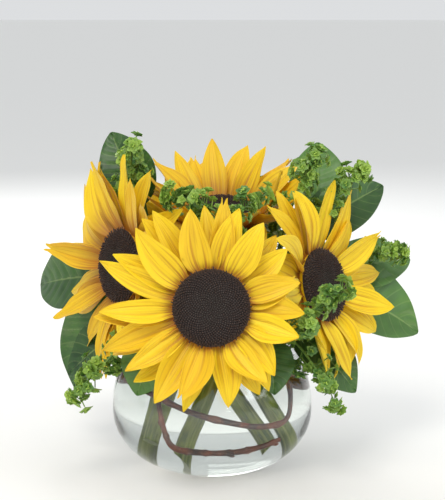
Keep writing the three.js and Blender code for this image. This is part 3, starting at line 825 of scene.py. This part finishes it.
def petal_shape(flower, layer, azimuth, d):
    """A petal's shape from its layer and its draws d, before it gives way to its neighbours."""
    towards = math.cos(azimuth - math.radians(flower["longest"]))
    stretch = 1 + 0.08 * d["length"] + flower["uneven"] * towards
    return {
        **PETAL,
        "start": flower["disc"] + 1 - PETAL["root"],
        "depth": layer["depth"],
        "azimuth": azimuth,
        "width": PETAL["width"] * (1 + 0.16 * d["width"]),
        "curl": math.radians(-14 + 26 * d["curl"]),
        "sway": 0.1 * d["sway"],
        "twist": math.radians(22 * d["twist"]),
        "fold": 0.2 + 0.1 * d["fold"],
        "rise": flower["lift"] + layer["lift"] + 4 * d["lift"],
        "reach": flower["petal"] * layer["share"] * stretch,
    }


def giving_way(blade, choice):
    bend, share = choice
    return {**blade, "lift": math.radians(blade["rise"] + bend), "length": blade["reach"] * share}


def petal_blades(flower, tree):
    """Each petal that the solid has, in the solid's own shape."""
    draw = draws_from(flower["seed"])
    grown = []
    for i in range(PETAL["count"]):
        d = draw_blade(draw)
        azimuth = 2 * math.pi * (i + 0.22 * d["azimuth"]) / PETAL["count"]
        blade = petal_shape(flower, PETAL_LAYERS[i % 2], azimuth, d)

        def corners(choice):
            return blade_corners(head_blade(flower, giving_way(blade, choice)), blade)

        choice = taken_choice(PETAL_CHOICES, corners, tree)
        if choice:
            grown.append(giving_way(blade, choice))
    return grown


def has_room(flower, blade, neighbours):
    """True where a petal's plain outline meets none of the neighbours' faces."""
    middle = head_blade(flower, blade)

    def place(t, across):
        point, side, _ = middle(t)
        return point + side * across * blade["width"] / 2 * petal_outline(t)

    plain = new_shape()
    lay_sheet(plain, (2, 8), place, 1, 0)
    meets = BVHTree.FromBMesh(plain).overlap(neighbours)
    plain.free()
    return not meets


def filling_blades(name, flower, rough):
    """More petals behind the solid's own, where the neighbours leave room for them."""
    own = [f"{name}_flower_{piece}" for piece in ("petals", "disc", "stem")]
    neighbours = neighbours_of(*own)
    grown = []
    for i in range(FILLING["count"]):
        d = draw_blade(rough.random)
        azimuth = 2 * math.pi * (i + 0.5 + 0.3 * d["azimuth"]) / FILLING["count"]
        blade = petal_shape(flower, FILLING, azimuth, d)
        ways = (giving_way(blade, choice) for choice in FILLING_CHOICES)
        roomy = next((way for way in ways if has_room(flower, way, neighbours)), None)
        if roomy:
            grown.append(roomy)
    return grown


def bract_blades(flower, tree):
    draw = draws_from(flower["seed"] + 1)
    grown = []
    for i in range(BRACT["count"]):
        d = draw_blade(draw)
        blade = {
            **BRACT,
            "start": flower["disc"] - BRACT["inset"],
            "depth": PLATE_THICKNESS + 2 * GAP + 4,
            "azimuth": 2 * math.pi * (i + 0.2 * d["azimuth"]) / BRACT["count"],
            "width": BRACT["width"] * (1 + 0.1 * d["width"]),
            "length": BRACT["length"] * (1 + 0.12 * d["length"]),
            "curl": math.radians(-30 + 15 * d["curl"]),
            "sway": 0.08 * d["sway"],
            "twist": 0,
            "fold": 0.15,
        }

        def shaped(lift):
            return {**blade, "lift": math.radians(lift + 4 * d["lift"])}

        def corners(lift):
            return blade_corners(head_blade(flower, shaped(lift)), blade)

        lift = taken_choice(BRACT_LIFTS, corners, tree)
        if lift is not None:
            grown.append(shaped(lift))
    return grown


PETAL_ROOT = 0.74  # a petal's width where it leaves the head, as a share of its widest
NOTCHED = 0.16  # share of the petals whose tip is split in two
ROLLED = 0.3  # share of the petals with one long side rolled up


def lay_petal(shape, flower, blade, rough):
    """A petal with a broad root, long ridges and grooves, a wavy edge and a hooked tip."""
    middle = head_blade(flower, blade)
    phase, waves, depth = rough.random(), rough.uniform(1.5, 3), rough.uniform(0.4, 1.3)
    hook, nod = rough.uniform(-8, 8), rough.uniform(-6, 5)
    lean, reach = rough.uniform(-0.2, 0.2), rough.uniform(0.78, 1.0)
    notched = rough.random() < NOTCHED
    rolled = rough.uniform(0.5, 1.1) if rough.random() < ROLLED else 0
    rolled_side = rough.choice((-1, 1))
    narrowest = 0.24 if notched else 0.04

    def place(t, across):
        notch = 0.1 * bump(across, 0.45) * t ** 10 if notched else 0
        point, side, normal = middle(t - notch)
        share = max(petal_outline(t, reach), PETAL_ROOT * (1 - 1.6 * t), narrowest)
        half = blade["width"] / 2 * share
        half *= 1 + lean * across * math.sin(math.pi * t)
        open_share = math.sin(math.pi * min(t + 0.08, 1)) ** 0.6
        grooves = bump(across - 1 / 3, 0.15) + bump(across + 1 / 3, 0.15)
        grooves += 0.4 * bump(abs(across) - 0.72, 0.1)
        height = (blade["fold"] + 0.1) * half * abs(across) ** 1.5 - 1.0 * grooves * open_share
        height += depth * math.sin(2 * math.pi * (waves * t + phase) + 2 * across) * across ** 2 * t
        height += rolled * half * max(0, rolled_side * across - 0.15) ** 2 * open_share
        height += nod * t ** 4
        return point + side * (across * half + hook * t ** 3) + normal * height

    lay_sheet(shape, (18, 16), place, 0.45, rough.random())


def make_petals(name, flower):
    tree = corners_of(f"{name}_flower_petals")
    rough = random.Random(flower["seed"])
    shape = new_shape()
    for blade in petal_blades(flower, tree) + filling_blades(name, flower, rough):
        lay_petal(shape, flower, blade, rough)
    low = -GAP - PLATE_THICKNESS
    rim = flower["disc"] - 1.5
    outline = [(0, low), (rim - 2.5, low), (rim, low / 2), (rim, -1), (rim - 1.5, -GAP), (0, -GAP)]
    plate = lay_turned(shape, outline, 48, head_matrix(flower))
    mark(shape, plate, 0.4, 0.2, 0.5)
    material = ray_petal(f"{name}_ray_petals", flower["shade"], flower["brown"])
    finish_piece(f"{name}_petals", shape, material, [f"{name}_flower_petals"])


FLORETS = 900
FLORET_BATCH = 45
RIM_FLORETS = 0.91  # share of the disc's radius from which the florets lean out over the petals
DISC_STEP = 0.02  # half the stretch over which the disc's slope is measured, as such a share
OUTERMOST_SEAT = 0.985  # share at which the last florets sit, just inside the disc's edge
STEEPEST_SEAT = math.radians(50)


def lay_floret(shape, matrix, share, rough):
    """One floret on the disc: a closed bud in the middle, an open spiky tube near the rim."""
    height = lerp(1.3, 3.8, share ** 3) * rough.uniform(0.65, 1.35)
    foot = lerp(0.6, 0.85, share)
    tip = foot * lerp(0.25, 0.5, share)
    lean = Matrix.Rotation(math.radians(rough.uniform(-24, 24)), 4, "X")
    spin = Matrix.Rotation(rough.uniform(0, math.pi), 4, "Z")
    opening = rough.uniform(20, 62) if share > RIM_FLORETS else 0
    outwards = Matrix.Rotation(math.radians(opening), 4, "Y")
    made = bmesh.ops.create_cone(
        shape, cap_ends=True, segments=4, radius1=foot, radius2=tip, depth=height,
    )["verts"]
    tone = rough.random() ** 3
    mark(shape, made, lambda p: p.z / height + 0.5, share, tone)
    bmesh.ops.transform(shape, matrix=matrix @ outwards @ lean @ spin, verts=made)


def make_disc(name, flower, material):
    """The dome of the disc, with its florets set in a spiral by the golden angle."""
    rough = random.Random(flower["seed"] + 2)
    shape = new_shape()
    onto_head = head_matrix(flower)
    rings = [(flower["disc"] * (1 - k / 12), disc_height(1 - k / 12) - 0.6) for k in range(13)]
    dome = lay_turned(shape, [(0, 0), (flower["disc"] - 1, 0), *rings], 48, onto_head)
    # The dome between the florets is marked as their foot, so it takes their darkest painted shade.
    mark(shape, dome, 0, 1, 0)
    for first in range(0, FLORETS, FLORET_BATCH):
        part = new_shape()
        for n in range(first, first + FLORET_BATCH):
            share = math.sqrt((n + 0.5) / FLORETS)
            radius = share * (flower["disc"] - 0.6)
            fall = disc_height(share - DISC_STEP) - disc_height(share + DISC_STEP)
            tilt = math.atan2(fall, 2 * DISC_STEP * flower["disc"])
            seat = Matrix.Translation((radius, 0, disc_height(min(share, OUTERMOST_SEAT))))
            outwards = Matrix.Rotation(min(tilt, STEEPEST_SEAT), 4, "Y")
            around = Matrix.Rotation(n * GOLDEN_ANGLE, 4, "Z")
            lay_floret(part, onto_head @ around @ seat @ outwards, share, rough)
        add_part(shape, part)
    finish_piece(f"{name}_florets", shape, material, [f"{name}_flower_disc"], sharp_from=60)


def lay_bract(shape, flower, blade, rough):
    """A green bract: keeled along its middle, drawn out to a narrow point."""
    middle = head_blade(flower, blade)
    tip_curl = rough.uniform(0.5, 3)

    def place(t, across):
        point, side, normal = middle(t)
        half = blade["width"] / 2 * max(petal_outline(t), 0.3 * (1 - t), 0.04)
        height = blade["fold"] * half * across ** 2 - 0.5 * bump(across, 0.3) - tip_curl * t ** 4
        return point + side * across * half + normal * height

    lay_sheet(shape, (6, 8), place, 0.7, rough.random())


def make_stem(name, flower, material):
    """The stem with the cup behind its head and the cup's bracts."""
    tree = corners_of(f"{name}_flower_stem")
    rough = random.Random(flower["seed"] + 3)
    shape = new_shape()
    for blade in bract_blades(flower, tree):
        lay_bract(shape, flower, blade, rough)

    top = -PLATE_THICKNESS - 2 * GAP
    rim = flower["disc"] - 1
    neck = top - CUP_DEPTH
    profile = [
        (0, neck), (STEM_RADIUS + 0.8, neck), (STEM_RADIUS + 2.5, neck + 1.5),
        (rim * 0.45, neck + 4.5), (rim * 0.66, top - 8), (rim * 0.86, top - 5),
        (rim * 0.97, top - 2.5), (rim, top - 1.2), (rim - 1, top), (0, top),
    ]
    cup = lay_turned(shape, profile, 40, head_matrix(flower))
    mark(shape, cup, 0.2, 0.3, 0.5)

    forward = facing(flower)[0]
    centre, mouth, foot = Vector(flower["centre"]), Vector(flower["mouth"]), Vector(flower["foot"])
    behind = [centre - (PLATE_THICKNESS + 8) * forward, centre - 40 * forward]
    route = Route([*behind, mouth, mouth.lerp(foot, 0.5), foot])
    phase = rough.uniform(0, 6)

    def radius(share, turn):
        ribs = 0.14 * math.cos(8 * turn + phase)
        return STEM_RADIUS * (1 + 0.035 * math.sin(9 * share + phase)) + ribs

    lay_tube(shape, route, radius, 24, 48)
    finish_piece(f"{name}_stem", shape, material, [f"{name}_flower_stem"])


# ---- Willow ------------------------------------------------------------------------------------


def make_twig(name, points, material):
    """A twig that swells a little at its nodes, where small buds sit."""
    route = Route(points)
    rough = random.Random(name)
    nodes = [(k + rough.uniform(0.3, 0.7)) / 11 for k in range(11)]
    shape = new_shape()

    def radius(share, turn):
        swelling = sum(0.55 * bump(share - node, 0.008) for node in nodes)
        grain = 0.12 * math.sin(23 * share + 2 * turn) + 0.08 * math.sin(61 * share)
        return lerp(*TWIG_RADII, share) * 1.05 + swelling + grain

    lay_tube(shape, route, radius, 12, 160)
    for node in nodes[::2]:
        foot, ahead = route.station(node), route.station(node + 0.01)
        along = (ahead - foot).normalized()
        out = turned_about(along.orthogonal().normalized(), along, rough.uniform(0, 360))
        reach = lerp(*TWIG_RADII, node)
        bud = Route([
            foot + out * (reach - 0.6),
            foot + out * (reach + 0.5) + along * 1.5,
            foot + out * (reach + 0.7) + along * 4,
        ])
        lay_tube(shape, bud, lambda share, turn: 1.0 * (1 - share) ** 0.6 + 0.15, 8, 5)
    finish_piece(f"{name}_twig", shape, material, [name])


# ---- Leaf sprigs and sprays --------------------------------------------------------------------


def on_ring(degrees, radius, height):
    angle = math.radians(degrees)
    return Vector((radius * math.cos(angle), radius * math.sin(angle), height))


def thin_foot(spec, choice):
    return on_ring(spec["around"] + sum(choice), THIN["foot_radius"], THIN["foot_height"])


def thin_route(spec, choice):
    mouth = on_ring(spec["around"] + choice[0], THIN["mouth_radius"], MOUTH_HEIGHT + 2)
    tip = Vector(spec["tip"])
    over = mouth.lerp(tip, BEND["at"]) + UP * BEND["rise"] * (tip - mouth).length
    return Route([thin_foot(spec, choice), mouth, spec.get("via", over), tip])


def taken_route(spec, radius, tree):
    """The path of a thin stem's solid: the one with most of the solid's corners round it."""

    def count(points):
        return sum(ring_corners(tree, point, radius) for point in points)

    standing = [c for c in ROUTE_CHOICES if count([thin_foot(spec, c)]) >= FEWEST_CORNERS]
    routes = [thin_route(spec, choice) for choice in standing]
    shares = [k / THIN["steps"] for k in range(THIN["steps"] + 1)]
    return max(routes, key=lambda route: count(route.station(share) for share in shares))


def leaf_outline(t):
    return math.sin(math.pi * t ** 0.85) ** 0.7 if 0 < t < 1 else 0


SIDE_RIBS = 9  # on each side of the midrib
RIB_SLANT = 0.16  # how far up the leaf a side rib ends at the edge, as a share of its length


def leaf_middle(leaf, root, choice):
    """The leaf's middle line at t, and the directions across it and out of its upper side."""
    pitch, yaw, size = choice
    along = Vector(leaf["tip"]) - root
    length = along.length * size
    along.normalize()
    across = Vector(leaf["faces"]).cross(along).normalized()
    along = turned_about(along, across, pitch)
    normal = along.cross(across)
    along = turned_about(along, normal, yaw)
    across = normal.cross(along)

    def middle(t):
        arch = LEAF["arch"] * length * (4 * t * (1 - t) - t)
        return root + along * length * t + normal * arch

    return middle, across, normal


def leaf_corners(leaf, root, choice):
    middle, across, normal = leaf_middle(leaf, root, choice)
    corners = [middle(1)]
    for k in range(2, LEAF["stations"]):
        t = k / LEAF["stations"]
        half = leaf["width"] / 2 * choice[2] * leaf_outline(t)
        corners += section_corners(middle(t), across, normal, half, LEAF)
    return corners


def lay_leaf(shape, leaf, root, choice, rough):
    """A leaf with a sunken midrib, puffed between its side ribs, wavy at its edge."""
    middle, side, normal = leaf_middle(leaf, root, choice)
    phase, waves, depth = rough.random(), rough.uniform(1.6, 2.6), rough.uniform(0.8, 1.6)

    def place(t, across):
        half = leaf["width"] / 2 * choice[2] * max(leaf_outline(t), 0.04)
        inner = 1 - across ** 2
        ribs = math.cos(2 * math.pi * SIDE_RIBS * (t - RIB_SLANT * abs(across)))
        puff = 0.45 * ribs * inner * min(1, abs(across) * 5)
        sunk = 0.7 * bump(across, 0.09) * inner
        edge = depth * math.sin(2 * math.pi * (waves * t + phase) + across) * across ** 4
        height = LEAF["fold"] * half * abs(across) ** 1.4 - puff - sunk + edge * min(1, 8 * t * (1 - t))
        return middle(t) + side * across * half + normal * height

    lay_sheet(shape, (16, 54), place, 0.5, rough.random())


def make_sprig(name, spec, material):
    tree = corners_of(name)
    rough = random.Random(name)
    route = taken_route(spec, SPRIG_RADIUS, tree)
    shape = new_shape()
    lay_tube(shape, route, lambda share, turn: SPRIG_RADIUS * (1.05 - 0.2 * share), 10, 40)
    for leaf in spec["leaves"]:
        root, _ = route.back_from_tip(leaf["back"])
        choice = taken_choice(LEAF_CHOICES, lambda c: leaf_corners(leaf, root, c), tree)
        if choice:
            lay_leaf(shape, leaf, root, choice, rough)
    finish_piece(f"{name}_leaves", shape, material, [name])


def umbel_axes(axis, out):
    """The two directions across an umbel, level with its cup."""
    across = out.cross(axis).normalized()
    return axis.cross(across), across


def umbel_corners(root, axis, out, radius, length):
    """The corners of the solid's star, on the upper side of its cup."""
    level, across = umbel_axes(axis, out)
    top = root + axis * (length + UMBEL["thickness"] / 2 + 0.2 * radius)
    angles = [2 * math.pi * k / UMBEL["points"] for k in range(UMBEL["points"])]
    return [top + radius * between(level, across, angle) for angle in angles]


# A cup's rings of bracts: how many, their reach and rise as shares of its radius, and their width
# as a share of their reach.
BRACT_RINGS = [
    {"count": 5, "reach": 1.0, "rise": 0.45, "wide": 0.42},
    {"count": 5, "reach": 0.78, "rise": 1.0, "wide": 0.4},
    {"count": 3, "reach": 0.42, "rise": 1.9, "wide": 0.55},
]
TINY_FLORETS = 4


def lay_umbel(shape, root, axis, out, radius, length, rough):
    """A starry cup on its stalk: rings of pointed bracts round a few tiny florets."""
    level, across_cup = umbel_axes(axis, out)
    top = root + axis * (length - UMBEL["thickness"] / 2)
    tone = rough.uniform(0, 0.7)
    stalk = Route([root, root.lerp(top, 0.5), top])
    lay_tube(shape, stalk, lambda share, turn: 0.45, 5, 3, tone)
    for turn, ring in enumerate(BRACT_RINGS):
        for k in range(ring["count"]):
            angle = 2 * math.pi * (k + turn / 2 + rough.uniform(-0.12, 0.12)) / ring["count"]
            ray = between(level, across_cup, angle)
            side = axis.cross(ray)
            reach = radius * ring["reach"] * rough.uniform(0.85, 1.1)
            rise = ring["rise"] * rough.uniform(0.7, 1.3)

            def place(t, across):
                half = reach * ring["wide"] * max(math.sin(math.pi * (0.12 + 0.88 * t)) ** 0.8, 0.06)
                height = reach * rise * t * (1 - 0.35 * t) + 0.35 * half * across ** 2
                return top + ray * reach * t + side * across * half + axis * (height + 0.3)

            lay_sheet(shape, (2, 4), place, 0.35, tone + rough.uniform(0, 0.3))
    for k in range(TINY_FLORETS):
        seat = top + axis * (radius * 0.45 + 0.8)
        seat += 0.1 * k * radius * between(level, across_cup, k * GOLDEN_ANGLE)
        ball = bmesh.ops.create_icosphere(
            shape, subdivisions=1, radius=0.13 * radius, matrix=Matrix.Translation(seat),
        )["verts"]
        mark(shape, ball, 1, 0, rough.uniform(0.7, 1))


def solid_umbels(spec, route, tree):
    """The umbels that the solid has, each as its root, axis, side, radius and stalk length."""
    draw = draws_from(spec["seed"])
    grown = []
    for i in range(UMBEL["count"]):
        spin, reach = draw(), draw()
        share = i / (UMBEL["count"] - 1)
        root, tangent = route.back_from_tip(SPREAD["along"] * (1 - share) + 1)
        spread = lerp(SPREAD["widest"], SPREAD["narrowest"], share)
        side = tangent.cross(Vector((0.1, 0.2, 1))).normalized()

        def shaped(choice):
            turn, size = choice
            out = Quaternion(tangent, i * GOLDEN_ANGLE + 0.8 * spin + math.radians(turn)) @ side
            axis = turned_about(tangent, out, spread)
            radius = UMBEL["radius"] * (0.85 + 0.3 * spin) * math.sqrt(size)
            return root, axis, out, radius, UMBEL["stalk"] * (0.85 + 0.5 * reach) * size

        choice = taken_choice(UMBEL_CHOICES, lambda c: umbel_corners(*shaped(c)), tree)
        if choice:
            grown.append(shaped(choice))
    return grown


def filling_umbels(route, umbels, rough):
    """Smaller umbels that fill the spray out: some beside each large one, some along the stem."""
    small = []
    for root, axis, out, _, length in umbels:
        for k in range(FILLING_UMBELS["beside"]):
            side = turned_about(out, axis, 360 * k / FILLING_UMBELS["beside"] + rough.uniform(-30, 30))
            leaning = turned_about(axis, side, rough.uniform(35, 75))
            start = root + axis * length * rough.uniform(0.2, 0.8)
            small.append((start, leaning, side))
    for k in range(FILLING_UMBELS["along"]):
        distance = FILLING_UMBELS["stretch"] * (k + rough.random()) / FILLING_UMBELS["along"]
        root, tangent = route.back_from_tip(distance + 1)
        side = Quaternion(tangent, k * GOLDEN_ANGLE) @ tangent.orthogonal().normalized()
        small.append((root, turned_about(tangent, side, rough.uniform(35, 75)), side))
    radii, stalks = FILLING_UMBELS["radius"], FILLING_UMBELS["stalk"]
    return [(*place, rough.uniform(*radii), rough.uniform(*stalks)) for place in small]


def make_spray(name, spec, material):
    tree = corners_of(name)
    neighbours = neighbours_of(name)
    rough = random.Random(name)
    route = taken_route(spec, SPRAY_RADIUS, tree)
    shape = new_shape()
    lay_tube(shape, route, lambda share, turn: SPRAY_RADIUS * (1.05 - 0.45 * share), 8, 36, 0.3)
    umbels = solid_umbels(spec, route, tree)
    for root, axis, out, radius, length in filling_umbels(route, umbels, rough):
        if neighbours.find_nearest(root + axis * (length + 0.4 * radius), 0.75 * radius)[0] is None:
            umbels.append((root, axis, out, radius, length))
    for umbel in umbels:
        part = new_shape()
        lay_umbel(part, *umbel, rough)
        add_part(shape, part)
    finish_piece(f"{name}_umbels", shape, material, [name])


# ---- Studio ------------------------------------------------------------------------------------

IMAGE = (445, 500)  # the photograph's width and height in pixels
VIEW = {"target": (7.8, 0, 167), "distance": 1300, "elevation": 8, "pixels_per_unit": 1742}
FLOOR_RADIUS = 40  # metres, so that its far edge lies near the top of the picture
LIT_PLACE = Vector((0, 0, 0.13))


def make_camera():
    """The photograph's view: level with the heads, a little from above, with a long lens."""
    rise = math.radians(VIEW["elevation"])
    away = Vector((0, -math.cos(rise), math.sin(rise)))
    data = bpy.data.cameras.new("camera")
    data.sensor_width = 36
    data.lens = data.sensor_width * VIEW["pixels_per_unit"] / max(IMAGE)
    data.clip_start, data.clip_end = 0.05, 50
    camera = add_object("camera", data)
    camera.location = (Vector(VIEW["target"]) + VIEW["distance"] * away) * 0.001
    camera.rotation_euler = (-away).to_track_quat("-Z", "Y").to_euler()
    bpy.context.scene.camera = camera


def make_floor():
    shape = new_shape()
    bmesh.ops.create_circle(shape, cap_ends=True, segments=64, radius=FLOOR_RADIUS)
    end_shape("floor", shape, matt_floor())


def make_light(name, place, size, watts, tint="#ffffff"):
    """A square soft light, aimed at the middle of the flowers."""
    data = bpy.data.lights.new(name, "AREA")
    data.size, data.energy, data.color = size, watts, colour(tint)[:3]
    light = add_object(name, data)
    light.location = place
    light.rotation_euler = (LIT_PLACE - Vector(place)).to_track_quat("-Z", "Y").to_euler()


def make_world():
    """Even pale surroundings, and plain sRGB, so that each finish shows its own colour."""
    world = bpy.data.worlds.new("studio")
    world.use_nodes = True
    background = world.node_tree.nodes["Background"].inputs
    background["Color"].default_value = colour("#f1f3f5")
    background["Strength"].default_value = 0.82
    bpy.context.scene.world = world
    bpy.context.scene.view_settings.view_transform = "Standard"


# ---- Putting it together -----------------------------------------------------------------------

make_camera()
make_floor()
make_world()
make_light("key", (-0.4, -1.3, 1.4), size=0.7, watts=15, tint="#fffaf0")
make_light("fill", (1.4, -1.0, 0.9), size=1.0, watts=6, tint="#f8faff")
make_light("back", (-0.4, 1.6, 1.2), size=1.0, watts=12)

make_bowl(blown_glass())
make_water(still_water())

florets, stems = disc_florets(), hairy_stem()
for name, flower in FLOWERS.items():
    make_petals(name, flower)
    make_disc(name, flower, florets)
    make_stem(name, flower, stems)

bark = willow_bark()
for name, points in TWIGS.items():
    make_twig(name, points, bark)

leaf_skin = leathery_leaf()
for name, spec in SPRIGS.items():
    make_sprig(name, spec, leaf_skin)

bract_skin = waxy_bracts()
for name, spec in SPRAYS.items():
    make_spray(name, spec, bract_skin)
